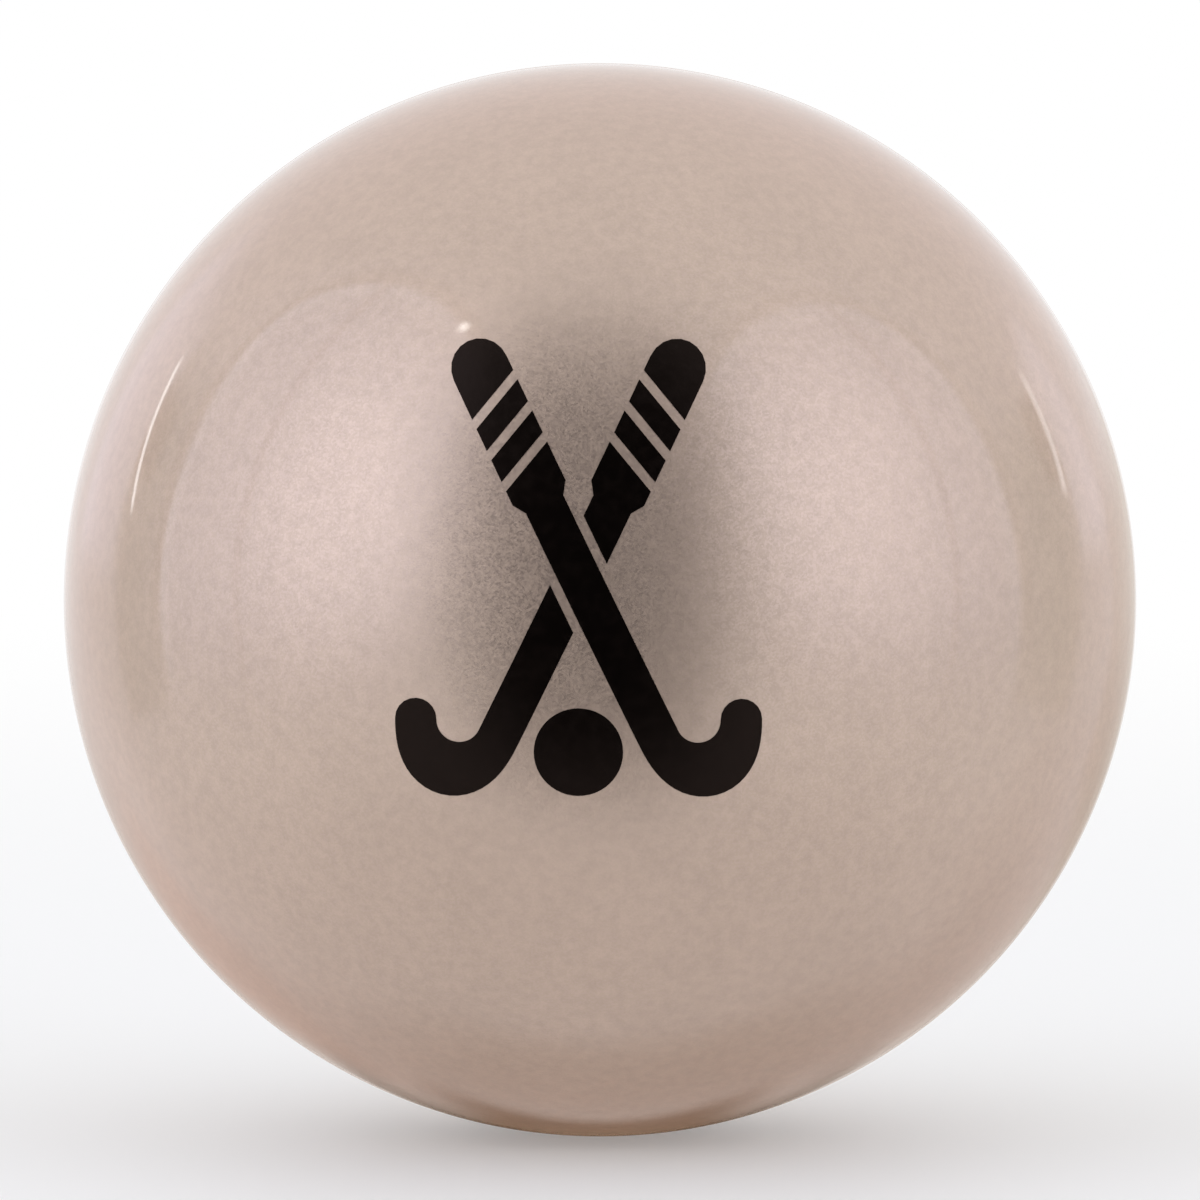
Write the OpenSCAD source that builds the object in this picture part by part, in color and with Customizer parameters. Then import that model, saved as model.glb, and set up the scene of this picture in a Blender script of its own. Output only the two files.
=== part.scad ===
// Field hockey ball, of the smooth kind: one hard plastic moulding with a sealed hollow.
// The origin is the ball's centre, and +Z is up.
// The half section is drawn beside the turning axis, which then lies along Y, front to back.

/* [Ball] */
// Circumference, which the game's rules hold between 224 and 235 mm
circumference = 230; // [224:0.5:235]
// Wall round the sealed hollow, which sets the ball's weight
wall = 9.6; // [7:0.1:12]

/* [Parting line] */
// Width of the buffed witness bead where the two halves of the mould met
parting_w = 0.8; // [0.5:0.1:1.5]
// Height that the buffing left of it
parting_h = 0.04; // [0.02:0.01:0.1]

/* [Finish] */
// Colour of the pearl lacquer
lacquer = "#C9B5A6"; // ["#C9B5A6":Champagne pearl, "#F2F2EE":White, "#F07A1E":Orange]

/* [Hidden] */
$fn = 180;
ball_r = circumference / (2 * PI);
hollow_r = ball_r - wall;
// The bead's cross-section is a shallow cap of a circle, and this is that circle's radius
bead_r = (pow(parting_w / 2, 2) + pow(parting_h, 2)) / (2 * parting_h);

// The bead's whole circle, whose top stands parting_h above the ball's widest ring.
// Where it would reach the hollow, the section cuts it off.
module parting_bead() {
    translate([ball_r + parting_h - bead_r, 0])
        circle(r = bead_r);
}

// Half of the ball as a saw cut would show it: the wall, the bead outside and the hollow inside
module half_section() {
    intersection() {
        difference() {
            union() {
                circle(r = ball_r);
                parting_bead();
            }
            circle(r = hollow_r);
        }
        translate([0, -2 * ball_r])
            square([2 * ball_r, 4 * ball_r]);
    }
}

// The mould's halves met in the XZ plane, so the bead runs over the top and down both sides
module ball() {
    color(lacquer)
        rotate([90, 0, 0])
            rotate_extrude()
                half_section();
}

ball();
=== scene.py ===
import math

import bmesh
import bpy
from bpy.props import FloatProperty, FloatVectorProperty, IntProperty, PointerProperty
from mathutils import Matrix, Vector


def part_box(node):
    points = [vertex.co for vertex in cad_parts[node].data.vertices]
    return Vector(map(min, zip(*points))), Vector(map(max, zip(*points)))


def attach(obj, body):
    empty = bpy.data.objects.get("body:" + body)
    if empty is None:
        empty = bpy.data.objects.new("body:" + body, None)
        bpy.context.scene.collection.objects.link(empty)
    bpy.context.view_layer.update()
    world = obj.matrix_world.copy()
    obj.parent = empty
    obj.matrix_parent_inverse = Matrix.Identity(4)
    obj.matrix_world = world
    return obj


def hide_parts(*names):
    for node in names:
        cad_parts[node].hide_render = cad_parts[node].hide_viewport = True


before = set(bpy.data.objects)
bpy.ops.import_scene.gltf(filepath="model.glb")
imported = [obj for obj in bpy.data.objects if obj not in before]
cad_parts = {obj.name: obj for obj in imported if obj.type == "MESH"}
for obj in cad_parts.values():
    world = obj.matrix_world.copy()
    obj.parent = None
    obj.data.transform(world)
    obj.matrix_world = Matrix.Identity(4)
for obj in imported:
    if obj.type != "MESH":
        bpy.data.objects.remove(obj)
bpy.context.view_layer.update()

bl_info = {
    "name": "Field Hockey Ball",
    "version": (1, 0, 0),
    "blender": (4, 5, 0),
    "location": "3D View > Sidebar > Hockey Ball",
    "description": "Finishes a smooth field hockey ball in pearl lacquer and lights it in a studio",
    "category": "Object",
}

MM = 0.001
BALL_LOW, BALL_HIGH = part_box("ball")
UP = Vector((0, 0, 1))
SHARP_EDGE = math.radians(30)
MERGE_DISTANCE = 1e-7
FULL_TURN = 2 * math.pi
PARTING_CUTS = 4
PARTING_SNAP = 1e-6
GRIP_TAPER = 0.8 * MM
TAPE_SLANT = 0.45
PRINT_GRID = 0.9 * MM
WHITE = (1, 1, 1, 1)
DAYLIGHT = (0.97, 0.99, 1.07, 1)
CLOTH_EDGE = (-0.01, 0.03)
FRAME_EDGE = (-0.08, -0.015)
RIM_EDGE = (0.1, 0.025)
SEAM_EDGE = (0.006, 0.02)
SEAM_LEVEL = 0.6


class BallSettings(bpy.types.PropertyGroup):
    """Sizes and finish of the moulding"""

    radius: FloatProperty(
        name="Radius", description="From the centre to the lacquer, away from the parting line",
        default=BALL_HIGH.y, unit="LENGTH", precision=5)
    parting_width: FloatProperty(
        name="Parting line width", description="Width of the buffed bead where the mould's halves met",
        default=0.8 * MM, unit="LENGTH", precision=5)
    parting_height: FloatProperty(
        name="Parting line height", description="Height of that bead above the ball",
        default=BALL_HIGH.x - BALL_HIGH.y, unit="LENGTH", precision=6)
    outline_steps: IntProperty(
        name="Outline steps", description="Edges from the front pole to the back pole",
        default=180, min=48, max=240)
    turn_steps: IntProperty(
        name="Turn steps", description="Edges round the parting line",
        default=256, min=64, max=360)
    binder: FloatVectorProperty(
        name="Binder", description="Colour of the lacquer between the flakes",
        default=(0.505, 0.39, 0.315, 1), size=4, subtype="COLOR", min=0, max=1)
    flake: FloatVectorProperty(
        name="Flake", description="Colour of the pearl flakes",
        default=(0.545, 0.42, 0.35, 1), size=4, subtype="COLOR", min=0, max=1)
    edge_tint: FloatVectorProperty(
        name="Edge tint", description="Colour of the pearl where it is seen at a low angle",
        default=(0.85, 0.62, 0.56, 1), size=4, subtype="COLOR", min=0, max=1)
    binder_metallic: FloatProperty(
        name="Binder metallic", description="Share of metal-like light that the binder sends back",
        default=0.62, min=0, max=1, subtype="FACTOR")
    flake_metallic: FloatProperty(
        name="Flake metallic", description="Share of metal-like light that a flake sends back",
        default=0.8, min=0, max=1, subtype="FACTOR")
    roughness: FloatProperty(
        name="Pearl roughness", description="How widely the pearl spreads a highlight",
        default=0.34, min=0, max=1, subtype="FACTOR")
    flake_size: FloatProperty(
        name="Flake size", description="Width of a flake",
        default=0.13 * MM, unit="LENGTH", precision=6)
    flake_tilt: FloatProperty(
        name="Flake tilt", description="How far the flakes lean away from the surface",
        default=0.06, min=0, max=1)
    flake_drift: FloatProperty(
        name="Flake drift", description="Width of the spots where the flakes have drifted together",
        default=0.8 * MM, unit="LENGTH", precision=5)
    drift_depth: FloatProperty(
        name="Drift depth", description="How much the drifted flakes change the lacquer's brightness",
        default=0.055, min=0, max=1, subtype="FACTOR")
    cloud_size: FloatProperty(
        name="Cloud size", description="Width of the patches where the lacquer is thicker",
        default=6 * MM, unit="LENGTH", precision=5)
    cloud_depth: FloatProperty(
        name="Cloud depth", description="How much darker the lacquer gets in a patch",
        default=0.03, min=0, max=1, subtype="FACTOR")
    peel_size: FloatProperty(
        name="Orange peel size", description="Width of the waves that spraying leaves in the pearl",
        default=1.5 * MM, unit="LENGTH", precision=5)
    peel_depth: FloatProperty(
        name="Orange peel depth", description="Height of those waves",
        default=0.003 * MM, unit="LENGTH", precision=6)
    coat_roughness: FloatProperty(
        name="Coat roughness", description="How widely the clear coat spreads a reflection",
        default=0.04, min=0, max=1, subtype="FACTOR")


class EmblemSettings(bpy.types.PropertyGroup):
    """Sizes and ink of the print on the front: two crossed sticks and a ball"""

    across: FloatProperty(
        name="Across", description="Place of the sticks' crossing, to the right of the ball's middle",
        default=-1.4 * MM, unit="LENGTH", precision=5)
    up: FloatProperty(
        name="Up", description="Place of the sticks' crossing, above the ball's middle",
        default=4.2 * MM, unit="LENGTH", precision=5)
    lean: FloatProperty(
        name="Lean", description="Angle between a stick and the upright",
        default=math.radians(26), subtype="ANGLE")
    handle: FloatProperty(
        name="Handle", description="From the crossing to the top of the grip",
        default=14.6 * MM, unit="LENGTH", precision=5)
    shaft: FloatProperty(
        name="Shaft", description="From the crossing to the start of the hooked head",
        default=12.0 * MM, unit="LENGTH", precision=5)
    shaft_width: FloatProperty(
        name="Shaft width", description="Width of the bare shaft",
        default=2.7 * MM, unit="LENGTH", precision=5)
    grip_width: FloatProperty(
        name="Grip width", description="Width of the wound grip",
        default=3.8 * MM, unit="LENGTH", precision=5)
    grip_length: FloatProperty(
        name="Grip length", description="Length of the wound grip",
        default=8.8 * MM, unit="LENGTH", precision=5)
    grip_turns: IntProperty(
        name="Grip turns", description="Turns of tape that show on a grip", default=4, min=1, max=8)
    head_radius: FloatProperty(
        name="Head radius", description="Radius of the hooked head, at the middle of its width",
        default=2.8 * MM, unit="LENGTH", precision=5)
    head_sweep: FloatProperty(
        name="Head sweep", description="Angle that the hooked head turns through",
        default=math.radians(155), subtype="ANGLE")
    head_swell: FloatProperty(
        name="Head swell", description="How much further out the head reaches at its bend",
        default=0.7, min=0, max=1, subtype="FACTOR")
    ball_width: FloatProperty(
        name="Ball width", description="Width of the printed ball",
        default=5.8 * MM, unit="LENGTH", precision=5)
    ball_drop: FloatProperty(
        name="Ball drop", description="From the crossing down to the printed ball's middle",
        default=11.6 * MM, unit="LENGTH", precision=5)
    clear: FloatProperty(
        name="Clear line", description="Width of the bare lines in the print",
        default=0.6 * MM, unit="LENGTH", precision=5)
    film: FloatProperty(
        name="Film", description="Height of the ink above the lacquer",
        default=0.025 * MM, unit="LENGTH", precision=6)
    ink: FloatVectorProperty(
        name="Ink", description="Colour of the ink where it covers well",
        default=(0.0013, 0.0009, 0.0008, 1), size=4, subtype="COLOR", min=0, max=1)
    thin_ink: FloatVectorProperty(
        name="Thin ink", description="Colour of the ink where it covers less",
        default=(0.00234, 0.00162, 0.00144, 1), size=4, subtype="COLOR", min=0, max=1)
    cover_size: FloatProperty(
        name="Cover size", description="Width of the patches where the ink covers less",
        default=0.8 * MM, unit="LENGTH", precision=5)
    gloss: FloatProperty(
        name="Gloss", description="How strongly the ink sends light back",
        default=0.18, min=0, max=1, subtype="FACTOR")
    gloss_tint: FloatVectorProperty(
        name="Gloss tint", description="Colour of the light that the ink sends back",
        default=(1, 0.7, 0.6, 1), size=4, subtype="COLOR", min=0, max=1)
    peel_size: FloatProperty(
        name="Ink peel size", description="Width of the waves in the ink",
        default=0.35 * MM, unit="LENGTH", precision=5)
    peel_depth: FloatProperty(
        name="Ink peel depth", description="Height of those waves",
        default=0.004 * MM, unit="LENGTH", precision=6)


class StageSettings(bpy.types.PropertyGroup):
    """Floor, lights and camera"""

    floor_radius: FloatProperty(
        name="Floor radius", description="Radius of the round floor",
        default=2.0, unit="LENGTH")
    floor_colour: FloatVectorProperty(
        name="Floor", description="Colour of the floor near the ball",
        default=(0.6, 0.6, 0.6, 1), size=4, subtype="COLOR", min=0, max=1)
    table_glow: FloatProperty(
        name="Table glow", description="Light that the floor itself gives, as a light table does",
        default=0.25, min=0, max=1)
    fade_start: FloatProperty(
        name="Fade start", description="Radius at which the floor starts to turn into the backdrop",
        default=0.1, unit="LENGTH")
    fade_stop: FloatProperty(
        name="Fade stop", description="Radius at which the floor has turned into the backdrop",
        default=0.5, unit="LENGTH")
    lens: FloatProperty(
        name="Lens", description="Focal length of the camera", default=300, unit="CAMERA")
    camera_elevation: FloatProperty(
        name="Camera elevation", description="Angle of the view above the horizon",
        default=math.radians(4), subtype="ANGLE")
    ball_share: FloatProperty(
        name="Ball's share", description="The ball's width over the picture's width",
        default=0.894, min=0.1, max=1, subtype="FACTOR")


def make_piece(name, bm, material):
    """An object from a finished bmesh, smooth apart from its corners, at the origin."""
    for face in bm.faces:
        face.smooth = True
    for edge in bm.edges:
        edge.smooth = edge.calc_face_angle(0) < SHARP_EDGE
    mesh = bpy.data.meshes.new(name)
    bm.to_mesh(mesh)
    bm.free()
    piece = bpy.data.objects.new(name, mesh)
    bpy.context.scene.collection.objects.link(piece)
    piece.data.materials.append(material)
    return piece


def new_material(name):
    """A node material with its Principled shader and an Object coordinate, both ready to wire."""
    material = bpy.data.materials.new(name)
    material.use_nodes = True
    tree = material.node_tree
    shader = tree.nodes["Principled BSDF"]
    place = tree.nodes.new("ShaderNodeTexCoord")
    return material, tree, shader, place.outputs["Object"]


def link(tree, value, socket):
    """Wire a socket, or set a plain number or vector, on the socket."""
    if isinstance(value, bpy.types.NodeSocket):
        tree.links.new(value, socket)
    else:
        socket.default_value = value


def maths(tree, operation, *values):
    """The result of a Math node on sockets and numbers."""
    node = tree.nodes.new("ShaderNodeMath")
    node.operation = operation
    for value, socket in zip(values, node.inputs):
        link(tree, value, socket)
    return node.outputs["Value"]


def vector_maths(tree, operation, *values):
    """The vector result of a Vector Math node on sockets and vectors."""
    node = tree.nodes.new("ShaderNodeVectorMath")
    node.operation = operation
    for value, socket in zip(values, node.inputs):
        link(tree, value, socket)
    return node.outputs["Vector"]


def scaled(tree, vector, factor):
    """A vector times a number."""
    node = tree.nodes.new("ShaderNodeVectorMath")
    node.operation = "SCALE"
    link(tree, vector, node.inputs[0])
    link(tree, factor, node.inputs["Scale"])
    return node.outputs["Vector"]


def ramp(tree, value, start, stop, low=0, high=1, smooth=True):
    """low where the value is at start and high where it is at stop."""
    node = tree.nodes.new("ShaderNodeMapRange")
    node.interpolation_type = "SMOOTHSTEP" if smooth else "LINEAR"
    for name, end in zip(("From Min", "From Max", "To Min", "To Max"), (start, stop, low, high)):
        link(tree, end, node.inputs[name])
    tree.links.new(value, node.inputs["Value"])
    return node.outputs["Result"]


def blend_colours(tree, share, first, second):
    """The first colour where the share is 0 and the second where it is 1."""
    node = tree.nodes.new("ShaderNodeMix")
    node.data_type = "RGBA"
    link(tree, share, node.inputs["Factor"])
    link(tree, first, node.inputs["A"])
    link(tree, second, node.inputs["B"])
    return node.outputs["Result"]


def cells(tree, place, size):
    """Random cells of the given size: their node, and each cell's three random values."""
    node = tree.nodes.new("ShaderNodeTexVoronoi")
    link(tree, place, node.inputs["Vector"])
    link(tree, maths(tree, "DIVIDE", 1, size), node.inputs["Scale"])
    parts = tree.nodes.new("ShaderNodeSeparateColor")
    link(tree, node.outputs["Color"], parts.inputs["Color"])
    return node, parts.outputs


def clouds(tree, place, size, detail):
    """Soft noise whose patches are about as large as the given size."""
    node = tree.nodes.new("ShaderNodeTexNoise")
    link(tree, place, node.inputs["Vector"])
    link(tree, maths(tree, "DIVIDE", 1, size), node.inputs["Scale"])
    node.inputs["Detail"].default_value = detail
    return node.outputs["Fac"]


def new_group(name, takes, gives):
    """An empty shader node group with named sockets, and its inputs and outputs."""
    tree = bpy.data.node_groups.new(name, "ShaderNodeTree")
    for label, kind, value in takes:
        socket = tree.interface.new_socket(name=label, in_out="INPUT", socket_type="NodeSocket" + kind)
        if value is not None:
            socket.default_value = value
    for label, kind in gives:
        tree.interface.new_socket(name=label, in_out="OUTPUT", socket_type="NodeSocket" + kind)
    return tree, tree.nodes.new("NodeGroupInput").outputs, tree.nodes.new("NodeGroupOutput").inputs


def use_group(tree, name, build, **values):
    """A node of the named group, which is built the first time that it is asked for."""
    node = tree.nodes.new("ShaderNodeGroup")
    node.node_tree = bpy.data.node_groups.get(name) or build(name)
    for label, value in values.items():
        link(tree, value, node.inputs[label.replace("_", " ")])
    return node.outputs


def build_orange_peel(name):
    """Low waves of a sprayed coat, as a height from 0 to 1."""
    tree, takes, gives = new_group(
        name, (("Place", "Vector", None), ("Wave Size", "Float", 1.5 * MM)), (("Height", "Float"),))
    link(tree, clouds(tree, takes["Place"], takes["Wave Size"], 1), gives["Height"])
    return tree


def build_pearl_flakes(name):
    """Flat flakes in a binder, each with its own strength, spread and tilt."""
    tree, takes, gives = new_group(
        name,
        (("Place", "Vector", None), ("Flake Size", "Float", 0.2 * MM), ("Tilt", "Float", 0.1),
         ("Normal", "Vector", None)),
        (("Flake", "Float"), ("Shade", "Float"), ("Normal", "Vector")))
    cell, chance = cells(tree, takes["Place"], takes["Flake Size"])
    link(tree, ramp(tree, chance["Red"], 0.25, 0.85), gives["Flake"])
    link(tree, chance["Green"], gives["Shade"])
    lean = vector_maths(tree, "SUBTRACT", cell.outputs["Color"], (0.5, 0.5, 0.5))
    turned = vector_maths(tree, "ADD", takes["Normal"], scaled(tree, lean, takes["Tilt"]))
    link(tree, vector_maths(tree, "NORMALIZE", turned), gives["Normal"])
    return tree


def build_specks(name):
    """Faint round specks under the coat: 1 in a speck and 0 elsewhere."""
    tree, takes, gives = new_group(
        name,
        (("Place", "Vector", None), ("Spacing", "Float", 9 * MM), ("Speck Size", "Float", 0.5 * MM)),
        (("Speck", "Float"),))
    cell, chance = cells(tree, takes["Place"], takes["Spacing"])
    reach = maths(tree, "MULTIPLY", cell.outputs["Distance"], takes["Spacing"])
    size = maths(tree, "MULTIPLY", takes["Speck Size"], chance["Blue"])
    dot = ramp(tree, reach, maths(tree, "MULTIPLY", size, 0.2), size, 1, 0)
    link(tree, maths(tree, "MULTIPLY", dot, ramp(tree, chance["Red"], 0.5, 0.7)), gives["Speck"])
    return tree


def pearl_lacquer(ball):
    """Champagne lacquer: pearl flakes in a warm binder, soft clouds, a few specks and a clear coat on top."""
    material, tree, shader, place = new_material("pearl_lacquer")
    peel = use_group(tree, "Orange Peel", build_orange_peel, Place=place, Wave_Size=ball.peel_size)
    bump = tree.nodes.new("ShaderNodeBump")
    bump.inputs["Distance"].default_value = ball.peel_depth
    link(tree, peel["Height"], bump.inputs["Height"])
    flakes = use_group(tree, "Pearl Flakes", build_pearl_flakes, Place=place, Flake_Size=ball.flake_size,
                       Tilt=ball.flake_tilt, Normal=bump.outputs["Normal"])
    specks = use_group(tree, "Specks", build_specks, Place=place)
    shade = ramp(tree, clouds(tree, place, ball.cloud_size, 2), 0.3, 0.7, 1 - ball.cloud_depth, 1)
    drift = clouds(tree, place, ball.flake_drift, 2)
    drift = ramp(tree, drift, 0.2, 0.8, 1 - ball.drift_depth, 1 + ball.drift_depth)
    shade = maths(tree, "MULTIPLY", shade, drift)
    shade = maths(tree, "MULTIPLY", shade, ramp(tree, specks["Speck"], 0, 1, 1, 0.8, smooth=False))
    lacquer = blend_colours(tree, flakes["Flake"], ball.binder, ball.flake)
    shine = tree.nodes.new("ShaderNodeHueSaturation")
    link(tree, shade, shine.inputs["Value"])
    link(tree, lacquer, shine.inputs["Color"])
    link(tree, shine.outputs["Color"], shader.inputs["Base Color"])
    link(tree, ramp(tree, flakes["Flake"], 0, 1, ball.binder_metallic, ball.flake_metallic, smooth=False),
         shader.inputs["Metallic"])
    link(tree, ramp(tree, flakes["Shade"], 0, 1, ball.roughness - 0.05, ball.roughness + 0.05, smooth=False),
         shader.inputs["Roughness"])
    link(tree, flakes["Normal"], shader.inputs["Normal"])
    shader.inputs["Specular Tint"].default_value = ball.edge_tint
    shader.inputs["Coat Weight"].default_value = 1
    shader.inputs["Coat Roughness"].default_value = ball.coat_roughness
    return material


def half_outline(bm, ball):
    """The ball's outline from pole to pole with the parting bead in its middle, as edges."""
    pole = bmesh.ops.create_vert(bm, co=(0, -ball.radius, 0))["vert"]
    bmesh.ops.spin(bm, geom=pole, cent=(0, 0, 0), axis=UP, angle=math.pi,
                   steps=ball.outline_steps, use_merge=False)
    for cut in range(-PARTING_CUTS, PARTING_CUTS + 1):
        across = ball.parting_width / 2 * cut / PARTING_CUTS
        bmesh.ops.bisect_plane(bm, geom=bm.verts[:] + bm.edges[:], dist=PARTING_SNAP,
                               plane_co=(0, across, 0), plane_no=(0, 1, 0))
    for vert in bm.verts:
        share = min(abs(vert.co.y) / (ball.parting_width / 2), 1)
        rise = ball.parting_height * math.cos(math.pi / 2 * share) ** 2
        vert.co = vert.co.normalized() * (ball.radius + rise)


class HOCKEY_OT_ball(bpy.types.Operator):
    """Turn the ball from its outline and give it the pearl lacquer"""

    bl_idname = "hockey.ball"
    bl_label = "Ball"

    def execute(self, context):
        ball = context.scene.hockey_ball
        bm = bmesh.new()
        half_outline(bm, ball)
        bmesh.ops.spin(bm, geom=bm.verts[:] + bm.edges[:], cent=(0, 0, 0), axis=(0, 1, 0),
                       angle=FULL_TURN, steps=ball.turn_steps, use_merge=True)
        bmesh.ops.remove_doubles(bm, verts=bm.verts, dist=MERGE_DISTANCE)
        bmesh.ops.recalc_face_normals(bm, faces=bm.faces)
        piece = make_piece("lacquered_ball", bm, pearl_lacquer(ball))
        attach(piece, "root")
        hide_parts("ball")
        return {"FINISHED"}


def print_ink(emblem):
    """Warm black ink with a soft gloss, a little uneven in its cover."""
    material, tree, shader, place = new_material("print_ink")
    cover = clouds(tree, place, emblem.cover_size, 3)
    colour = blend_colours(tree, ramp(tree, cover, 0.45, 0.75), emblem.ink, emblem.thin_ink)
    link(tree, colour, shader.inputs["Base Color"])
    link(tree, ramp(tree, cover, 0.3, 0.7, 0.2, 0.27), shader.inputs["Roughness"])
    peel = use_group(tree, "Orange Peel", build_orange_peel, Place=place, Wave_Size=emblem.peel_size)
    bump = tree.nodes.new("ShaderNodeBump")
    bump.inputs["Distance"].default_value = emblem.peel_depth
    link(tree, peel["Height"], bump.inputs["Height"])
    link(tree, bump.outputs["Normal"], shader.inputs["Normal"])
    shader.inputs["Specular IOR Level"].default_value = emblem.gloss
    shader.inputs["Specular Tint"].default_value = emblem.gloss_tint
    return material


def cross_section(bm, y, width):
    """Two edges across a stroke, from its left side over its middle to its right side."""
    verts = [bm.verts.new((x, y, 0)) for x in (-width / 2, 0, width / 2)]
    return verts + [bm.edges.new(pair) for pair in zip(verts, verts[1:])]


def pull(bm, geom, y, width):
    """Extrude a cross-section to another height and width; gives the new cross-section."""
    edges = [item for item in geom if isinstance(item, bmesh.types.BMEdge)]
    made = bmesh.ops.extrude_edge_only(bm, edges=edges)["geom"]
    verts = [item for item in made if isinstance(item, bmesh.types.BMVert)]
    for vert in verts:
        vert.co.x = width / 2 * ((vert.co.x > 1e-9) - (vert.co.x < -1e-9))
        vert.co.y = y
    return verts + [item for item in made if isinstance(item, bmesh.types.BMEdge)
                    and all(vert in verts for vert in item.verts)]


def rounded_end(bm, edge, centre):
    """Close a stroke with a half disc, spun round its middle from one half of its cross-section."""
    bmesh.ops.spin(bm, geom=[edge] + list(edge.verts), cent=centre, axis=UP, angle=math.pi, steps=10,
                   use_merge=False)


def printed_stick(emblem):
    """One flat stick, upright, with its crossing at the origin and its head hooked to the right."""
    bm = bmesh.new()
    top = cross_section(bm, emblem.handle, emblem.grip_width)
    grip_end = emblem.handle - emblem.grip_length
    low = pull(bm, top, grip_end, emblem.grip_width)
    low = pull(bm, low, grip_end - GRIP_TAPER, emblem.shaft_width)
    low = pull(bm, low, -emblem.shaft, emblem.shaft_width)
    hook = Vector((emblem.head_radius, -emblem.shaft, 0))
    toe = bmesh.ops.spin(bm, geom=low, cent=hook, axis=UP, angle=emblem.head_sweep, steps=24,
                         use_merge=False)["geom_last"]
    rounded_end(bm, top[-1], (0, emblem.handle, 0))
    toe_edges = [item for item in toe if isinstance(item, bmesh.types.BMEdge)]
    outer = max(toe_edges, key=lambda edge: sum((vert.co - hook).length for vert in edge.verts))
    middle = min(outer.verts, key=lambda vert: (vert.co - hook).length)
    rounded_end(bm, outer, middle.co.copy())
    bmesh.ops.remove_doubles(bm, verts=bm.verts, dist=MERGE_DISTANCE)
    for vert in bm.verts:
        arm = vert.co - hook
        turned = math.atan2(arm.y, arm.x) + math.pi
        if arm.y < -1e-9 and turned < emblem.head_sweep and arm.length > emblem.head_radius:
            swell = 1 + emblem.head_swell * math.sin(math.pi * turned / emblem.head_sweep) ** 2
            reach = emblem.head_radius + (arm.length - emblem.head_radius) * swell
            vert.co = hook + arm.normalized() * reach
    return bm


def clear_line(bm, centre, along, width):
    """Take the ink away between two parallel lines beside a centre line."""
    side = Vector((along[1], -along[0], 0)).normalized()
    for sign in (-1, 1):
        bmesh.ops.bisect_plane(bm, geom=bm.verts[:] + bm.edges[:] + bm.faces[:], dist=MERGE_DISTANCE,
                               plane_co=Vector(centre) + side * width / 2 * sign, plane_no=side)
    inside = [face for face in bm.faces
              if abs((face.calc_center_median() - Vector(centre)).dot(side)) < width / 2]
    bmesh.ops.delete(bm, geom=inside, context="FACES")


def printed_emblem(emblem):
    """The whole flat print round the sticks' crossing: two crossed sticks and a ball."""
    whole = bmesh.new()
    for side in (1, -1):
        stick = printed_stick(emblem)
        pitch = emblem.grip_length / emblem.grip_turns
        for turn in range(1, emblem.grip_turns):
            clear_line(stick, (0, emblem.handle - pitch * turn, 0), (1, TAPE_SLANT), emblem.clear)
        turn = Matrix.Rotation(emblem.lean, 3, "Z")
        bmesh.ops.rotate(stick, cent=(0, 0, 0), matrix=turn, verts=stick.verts)
        if side < 0:
            over = (math.sin(emblem.lean), math.cos(emblem.lean))
            clear_line(stick, (0, 0, 0), over, emblem.shaft_width + 2 * emblem.clear)
            bmesh.ops.scale(stick, vec=(-1, 1, 1), verts=stick.verts)
        mesh = bpy.data.meshes.new("stick")
        stick.to_mesh(mesh)
        stick.free()
        whole.from_mesh(mesh)
        bpy.data.meshes.remove(mesh)
    bmesh.ops.create_circle(whole, cap_ends=True, segments=48, radius=emblem.ball_width / 2,
                            matrix=Matrix.Translation((0, -emblem.ball_drop, 0)))
    return whole


def cut_grid(bm, step):
    """Cut flat faces along a square grid, so that they can follow the ball."""
    reach = max(max(abs(vert.co.x), abs(vert.co.y)) for vert in bm.verts)
    for line in range(-int(reach / step), int(reach / step) + 1):
        for across in (Vector((1, 0, 0)), Vector((0, 1, 0))):
            bmesh.ops.bisect_plane(bm, geom=bm.verts[:] + bm.edges[:] + bm.faces[:], dist=MERGE_DISTANCE,
                                   plane_co=across * line * step, plane_no=across)


class HOCKEY_OT_emblem(bpy.types.Operator):
    """Print two crossed sticks and a ball on the front as a thin film of ink"""

    bl_idname = "hockey.emblem"
    bl_label = "Print"

    def execute(self, context):
        ball = context.scene.hockey_ball
        emblem = context.scene.hockey_emblem
        bm = printed_emblem(emblem)
        cut_grid(bm, PRINT_GRID)
        top = bmesh.ops.extrude_face_region(bm, geom=bm.faces[:], use_keep_orig=True)["geom"]
        raised = {item for item in top if isinstance(item, bmesh.types.BMVert)}
        for vert in bm.verts:
            radius = ball.radius + (emblem.film if vert in raised else -emblem.film)
            x, z = vert.co.x + emblem.across, vert.co.y + emblem.up
            vert.co = (x, -math.sqrt(radius ** 2 - x ** 2 - z ** 2), z)
        bmesh.ops.recalc_face_normals(bm, faces=bm.faces)
        if not all(edge.is_manifold for edge in bm.edges):
            raise RuntimeError("The ink film isn't closed")
        piece = make_piece("printed_emblem", bm, print_ink(emblem))
        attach(piece, "root")
        return {"FINISHED"}


def distance_from(tree, place, centre=(0, 0, 0)):
    """How far the place is from the centre."""
    node = tree.nodes.new("ShaderNodeVectorMath")
    node.operation = "DISTANCE"
    node.inputs[1].default_value = centre
    tree.links.new(place, node.inputs[0])
    return node.outputs["Value"]


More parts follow.
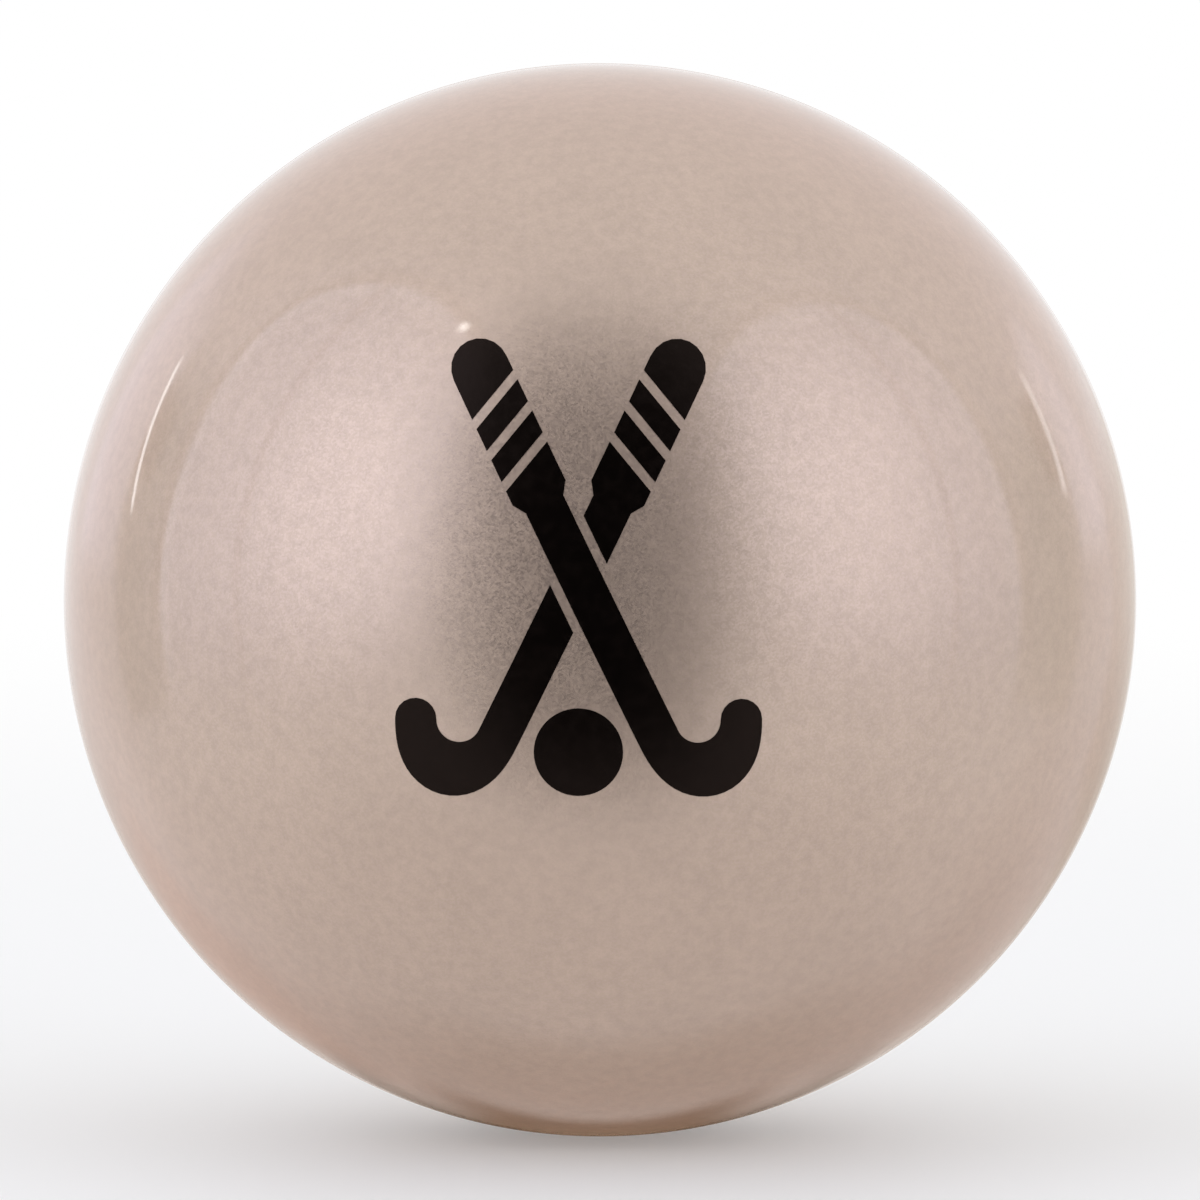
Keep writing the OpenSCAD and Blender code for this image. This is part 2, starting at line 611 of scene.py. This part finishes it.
def floor_material(stage):
    """Pale, softly lit table that keeps the shadow and turns into the white backdrop further out."""
    material, tree, shader, place = new_material("studio_floor")
    shader.inputs["Base Color"].default_value = stage.floor_colour
    shader.inputs["Roughness"].default_value = 0.6
    shader.inputs["Emission Color"].default_value = WHITE
    shader.inputs["Emission Strength"].default_value = stage.table_glow
    white = tree.nodes.new("ShaderNodeEmission")
    mix = tree.nodes.new("ShaderNodeMixShader")
    reach = distance_from(tree, place, (0, 0, BALL_LOW.z))
    tree.links.new(ramp(tree, reach, stage.fade_start, stage.fade_stop), mix.inputs["Fac"])
    tree.links.new(shader.outputs["BSDF"], mix.inputs[1])
    tree.links.new(white.outputs["Emission"], mix.inputs[2])
    output = tree.nodes["Material Output"]
    tree.links.new(mix.outputs["Shader"], output.inputs["Surface"])
    return material


def on_sphere(azimuth, elevation, distance):
    """A place by its angles from the camera's side and from the horizon."""
    across, up = math.radians(azimuth), math.radians(elevation)
    return distance * Vector((math.sin(across) * math.cos(up),
                              -math.cos(across) * math.cos(up), math.sin(up)))


def aim(thing):
    """Turn a card or the camera so that it looks at the ball."""
    thing.rotation_euler = (-thing.location).to_track_quat("-Z", "Y").to_euler()


def card_tree(name):
    """A card's material without its Principled shader, and the card's own coordinates."""
    material, tree, shader, place = new_material(name)
    tree.nodes.remove(shader)
    parts = tree.nodes.new("ShaderNodeSeparateXYZ")
    tree.links.new(place, parts.inputs["Vector"])
    return material, tree, place, parts.outputs["X"], parts.outputs["Y"]


def window(tree, x, y, across, up):
    """1 inside a window whose four sides fade out; each side has where it is clear and where it is full."""
    left, left_full, right_full, right = across
    low, low_full, high_full, high = up
    sides = maths(tree, "MULTIPLY", ramp(tree, x, left, left_full), ramp(tree, x, right, right_full))
    ends = maths(tree, "MULTIPLY", ramp(tree, y, low, low_full), ramp(tree, y, high, high_full))
    return maths(tree, "MULTIPLY", sides, ends)


def inside_panel(tree, x, y, outer, slant, top, peak, arch, corner):
    """How far a place lies inside a slanting outer side and an arched top that meet in a round corner."""
    beside = maths(tree, "SUBTRACT", maths(tree, "SUBTRACT", x, maths(tree, "MULTIPLY", y, slant)), outer)
    drop = maths(tree, "MULTIPLY", maths(tree, "POWER", maths(tree, "SUBTRACT", x, peak), 2), arch)
    below = maths(tree, "SUBTRACT", maths(tree, "SUBTRACT", top, drop), y)
    past = tree.nodes.new("ShaderNodeCombineXYZ")
    link(tree, maths(tree, "MAXIMUM", maths(tree, "SUBTRACT", corner, beside), 0), past.inputs["X"])
    link(tree, maths(tree, "MAXIMUM", maths(tree, "SUBTRACT", corner, below), 0), past.inputs["Y"])
    return maths(tree, "SUBTRACT", corner, distance_from(tree, past.outputs["Vector"]))


def glow_material(name, build):
    """A glowing card; build gives where it is solid, its level, its colour and the tint of the clear rest."""
    material, tree, place, x, y = card_tree(name)
    glow = tree.nodes.new("ShaderNodeEmission")
    clear = tree.nodes.new("ShaderNodeBsdfTransparent")
    mix = tree.nodes.new("ShaderNodeMixShader")
    solid, level, colour, rest = build(tree, place, x, y)
    link(tree, rest, clear.inputs["Color"])
    link(tree, colour, glow.inputs["Color"])
    link(tree, level, glow.inputs["Strength"])
    link(tree, solid, mix.inputs["Fac"])
    link(tree, clear.outputs["BSDF"], mix.inputs[1])
    link(tree, glow.outputs["Emission"], mix.inputs[2])
    link(tree, mix.outputs["Shader"], tree.nodes["Material Output"].inputs["Surface"])
    return material


def softbox_material(name, side, panel, fade, low, edge, middle, spot, reach, rim, frame_shade, seam, colour):
    """Diffuser cloth in a dark frame, brightest at its lamp and its rim; it fades inwards and down.

    side is 1 where the card's own X axis points to the camera's side and -1 where it points away from it.
    """
    def cloth(tree, place, x, y):
        towards = maths(tree, "MULTIPLY", x, side)
        inside = inside_panel(tree, towards, y, **panel)
        fading = maths(tree, "MULTIPLY", ramp(tree, towards, fade[1], fade[0]), ramp(tree, y, low[0], low[1]))
        solid = maths(tree, "MULTIPLY", ramp(tree, inside, *CLOTH_EDGE), fading)
        border = maths(tree, "MULTIPLY", ramp(tree, inside, *FRAME_EDGE), fading)
        border = blend_colours(tree, border, WHITE, frame_shade)
        level = ramp(tree, distance_from(tree, place, (spot[0] * side, spot[1], 0)), 0, reach, middle, edge)
        level = maths(tree, "ADD", level, ramp(tree, inside, *RIM_EDGE, 0, rim))
        stitched = maths(tree, "ABSOLUTE", maths(tree, "SUBTRACT", towards, seam))
        level = maths(tree, "MULTIPLY", level, ramp(tree, stitched, *SEAM_EDGE, SEAM_LEVEL, 1))
        return solid, level, colour, border
    return glow_material(name, cloth)


def lamp_material(name, across, up, level, colour):
    """An even glow in a window with soft sides."""
    def lamp(tree, place, x, y):
        return window(tree, x, y, across, up), level, colour, WHITE
    return glow_material(name, lamp)


def net_material(name, across, up, share):
    """Net that lets a share of each colour of the light through and thins out towards its sides."""
    material, tree, place, x, y = card_tree(name)
    net = tree.nodes.new("ShaderNodeBsdfTransparent")
    shade = blend_colours(tree, window(tree, x, y, across, up), WHITE, share + (1,))
    tree.links.new(shade, net.inputs["Color"])
    tree.links.new(net.outputs["BSDF"], tree.nodes["Material Output"].inputs["Surface"])
    return material


def add_card(name, azimuth, elevation, distance, size, material, lean=0):
    """A square card that faces the ball, leans in its own plane and isn't seen by the camera.

    The angles are in degrees and the distance and half the card's width in metres.
    """
    bm = bmesh.new()
    bmesh.ops.create_grid(bm, x_segments=1, y_segments=1, size=size)
    card = make_piece(name, bm, material)
    card.location = on_sphere(azimuth, elevation, distance)
    aim(card)
    card.rotation_euler.rotate_axis("Z", math.radians(lean))
    card.visible_camera = False
    return card


def only_in_gloss(card):
    """Let a card shape the gloss and leave the light on matt surfaces as it is."""
    card.visible_diffuse = False
    card.visible_shadow = False


def add_net(name, azimuth, elevation, size, across, up, share, distance=0.5):
    """A net that dims what the gloss shows in its window."""
    only_in_gloss(add_card(name, azimuth, elevation, distance, size, net_material(name, across, up, share)))


def add_lamp(name, azimuth, elevation, size, across, up, level, colour=WHITE, distance=0.5, lean=0):
    """A lamp or lit wall that brightens what the gloss shows in its window."""
    glow = lamp_material(name, across, up, level, colour)
    only_in_gloss(add_card(name, azimuth, elevation, distance, size, glow, lean))


class HOCKEY_OT_stage(bpy.types.Operator):
    """Lay the floor, set the lamps and the world and place the camera"""

    bl_idname = "hockey.stage"
    bl_label = "Stage"

    def execute(self, context):
        ball = context.scene.hockey_ball
        stage = context.scene.hockey_stage
        bm = bmesh.new()
        bmesh.ops.create_circle(bm, cap_ends=True, segments=96, radius=stage.floor_radius,
                                matrix=Matrix.Translation((0, 0, BALL_LOW.z)))
        floor = make_piece("studio_floor", bm, floor_material(stage))
        floor.visible_glossy = False
        add_card("softbox_left", -68, 20, distance=0.6, size=1.0, material=softbox_material(
            "softbox_left", side=1, low=(-0.6, -0.15), edge=1.12, middle=1.7, spot=(0.19, 0.05),
            reach=0.5, rim=0.45, frame_shade=(0.7, 0.68, 0.6, 1), seam=-0.152,
            panel={"outer": -0.465, "slant": 0.17, "top": 0.51, "peak": 0.0, "arch": 1.2, "corner": 0.08},
            fade=(0.235, 0.6), colour=(0.98, 0.993, 1.1, 1)))
        add_card("softbox_right", 68, 20, distance=0.6, size=1.0, material=softbox_material(
            "softbox_right", side=-1, low=(-0.61, -0.175), edge=1.03, middle=1.56, spot=(0.165, 0.05),
            reach=0.605, rim=0.3, frame_shade=(0.75, 0.74, 0.66, 1), seam=-0.129,
            panel={"outer": -0.345, "slant": 0.2, "top": 0.47, "peak": 0.09, "arch": 1.05, "corner": 0.15},
            fade=(0.235, 0.6), colour=(0.985, 0.993, 1.085, 1)))
        add_net("camera_net", 0, 10, size=1.0, across=(-0.41, -0.12, 0.122, 0.36),
                up=(-0.72, -0.21, 0.2, 1.0), share=(0.04, 0.04, 0.04))
        add_net("net_left", -114, 16, size=0.5, across=(-0.095, -0.065, 0.072, 0.085),
                up=(-0.31, -0.28, 0.0, 0.14), share=(0.73, 0.74, 0.69))
        add_net("net_right", 112, 16, size=0.5, across=(-0.125, -0.11, 0.06, 0.11),
                up=(-0.31, -0.28, -0.01, 0.09), share=(0.79, 0.8, 0.74))
        add_net("gap_left", -120, 16, size=0.1, across=(-0.042, -0.028, 0.025, 0.055),
                up=(-0.055, -0.03, 0.03, 0.055), share=(0.53, 0.53, 0.48))
        add_net("gap_right", 119.5, 16, size=0.1, across=(-0.055, -0.025, 0.022, 0.034),
                up=(-0.055, -0.03, 0.03, 0.055), share=(0.53, 0.53, 0.48))
        add_net("net_below", 0, -90, size=1.5, across=(-0.8, -0.05, 0.05, 0.8),
                up=(-0.8, -0.05, 0.05, 0.8), share=(0.82, 0.79, 0.78), distance=0.3)
        add_net("net_low_back", 180, -25, size=1.0, across=(-0.6, -0.15, 0.1, 0.45),
                up=(-0.76, -0.52, 0.08, 0.22), share=(0.72, 0.66, 0.61))
        add_net("net_low_left", -152, -28, size=0.2, across=(-0.14, -0.05, 0.05, 0.14),
                up=(-0.14, -0.05, 0.05, 0.14), share=(1.0, 0.9, 0.86))
        add_net("net_low_right", 121, -27, size=0.2, across=(-0.16, -0.06, 0.06, 0.16),
                up=(-0.16, -0.06, 0.06, 0.16), share=(0.9, 0.88, 0.86))
        add_net("net_back_right", 152, -6, size=0.2, across=(-0.14, -0.09, 0.09, 0.14),
                up=(-0.12, -0.07, 0.06, 0.11), share=(0.87, 0.85, 0.8))
        touching = ball.radius + 0.3 * MM
        # Painted contact shadow: a dark card just under the ball that only the gloss sees, standing in for
        # the floor's shadow, which the gloss doesn't see
        add_net("painted_contact_shadow", 0, -89.9, size=0.04, across=(-0.0162, -0.006, 0.006, 0.0162),
                up=(-0.0107, -0.0075, 0.0075, 0.0107), share=(0.4, 0.29, 0.21), distance=touching)
        # Painted shadow: a wider, paler dark card round the contact, also seen only in the gloss
        add_net("painted_shadow_near", 0, -89.9, size=0.04, across=(-0.027, -0.013, 0.013, 0.027),
                up=(-0.016, -0.007, -0.003, 0.005), share=(0.5, 0.47, 0.44), distance=touching + 0.3 * MM)
        add_lamp("wall_left", -138, 12, size=0.25, across=(-0.11, -0.06, 0.1, 0.125),
                 up=(-0.13, -0.08, 0.08, 0.2), level=1.22, colour=DAYLIGHT)
        add_lamp("wall_right", 135, 13, size=0.2, across=(-0.115, -0.085, -0.02, 0.06),
                 up=(-0.12, -0.07, 0.06, 0.11), level=1.3, colour=DAYLIGHT)
        add_lamp("strip_left", -123.4, 15, size=0.1, across=(-0.006, -0.004, 0.004, 0.006),
                 up=(-0.08, -0.06, 0.06, 0.08), level=4, distance=0.49, lean=24)
        add_lamp("strip_right", 122.4, 15.5, size=0.1, across=(-0.018, -0.002, 0.004, 0.008),
                 up=(-0.065, -0.045, 0.045, 0.065), level=2.4, distance=0.49, lean=-14)
        add_lamp("spark_lamp", -48, 57, size=0.02, across=(-0.013, 0, 0, 0.013),
                 up=(-0.013, 0, 0, 0.013), level=13, colour=(1, 0.95, 0.9, 1), distance=0.45)
        world = bpy.data.worlds.new("studio")
        world.use_nodes = True
        background = world.node_tree.nodes["Background"]
        background.inputs["Color"].default_value = WHITE
        background.inputs["Strength"].default_value = 1
        context.scene.world = world
        context.scene.view_settings.view_transform = "Standard"
        camera = bpy.data.objects.new("camera", bpy.data.cameras.new("camera"))
        context.scene.collection.objects.link(camera)
        camera.data.lens = stage.lens
        half_view = math.atan(camera.data.sensor_width / 2 / stage.lens)
        seen = math.atan(stage.ball_share * math.tan(half_view))
        camera.location = on_sphere(0, math.degrees(stage.camera_elevation), ball.radius / math.sin(seen))
        aim(camera)
        context.scene.camera = camera
        return {"FINISHED"}


class HOCKEY_PT_panel(bpy.types.Panel):
    """Lists the ball's settings and its builders"""

    bl_idname = "HOCKEY_PT_panel"
    bl_label = "Hockey Ball"
    bl_space_type = "VIEW_3D"
    bl_region_type = "UI"
    bl_category = "Hockey Ball"

    def draw(self, context):
        scene = context.scene
        for group in (scene.hockey_ball, scene.hockey_emblem, scene.hockey_stage):
            for name in group.bl_rna.properties.keys():
                if name not in ("rna_type", "name"):
                    self.layout.prop(group, name)
        self.layout.operator(HOCKEY_OT_ball.bl_idname)
        self.layout.operator(HOCKEY_OT_emblem.bl_idname)
        self.layout.operator(HOCKEY_OT_stage.bl_idname)


CLASSES = (BallSettings, EmblemSettings, StageSettings, HOCKEY_OT_ball, HOCKEY_OT_emblem, HOCKEY_OT_stage,
           HOCKEY_PT_panel)


def register():
    for item in CLASSES:
        bpy.utils.register_class(item)
    bpy.types.Scene.hockey_ball = PointerProperty(type=BallSettings)
    bpy.types.Scene.hockey_emblem = PointerProperty(type=EmblemSettings)
    bpy.types.Scene.hockey_stage = PointerProperty(type=StageSettings)


def unregister():
    del bpy.types.Scene.hockey_stage
    del bpy.types.Scene.hockey_emblem
    del bpy.types.Scene.hockey_ball
    for item in reversed(CLASSES):
        bpy.utils.unregister_class(item)


def main():
    register()
    bpy.ops.hockey.ball()
    bpy.ops.hockey.emblem()
    bpy.ops.hockey.stage()


if __name__ == "__main__":
    main()
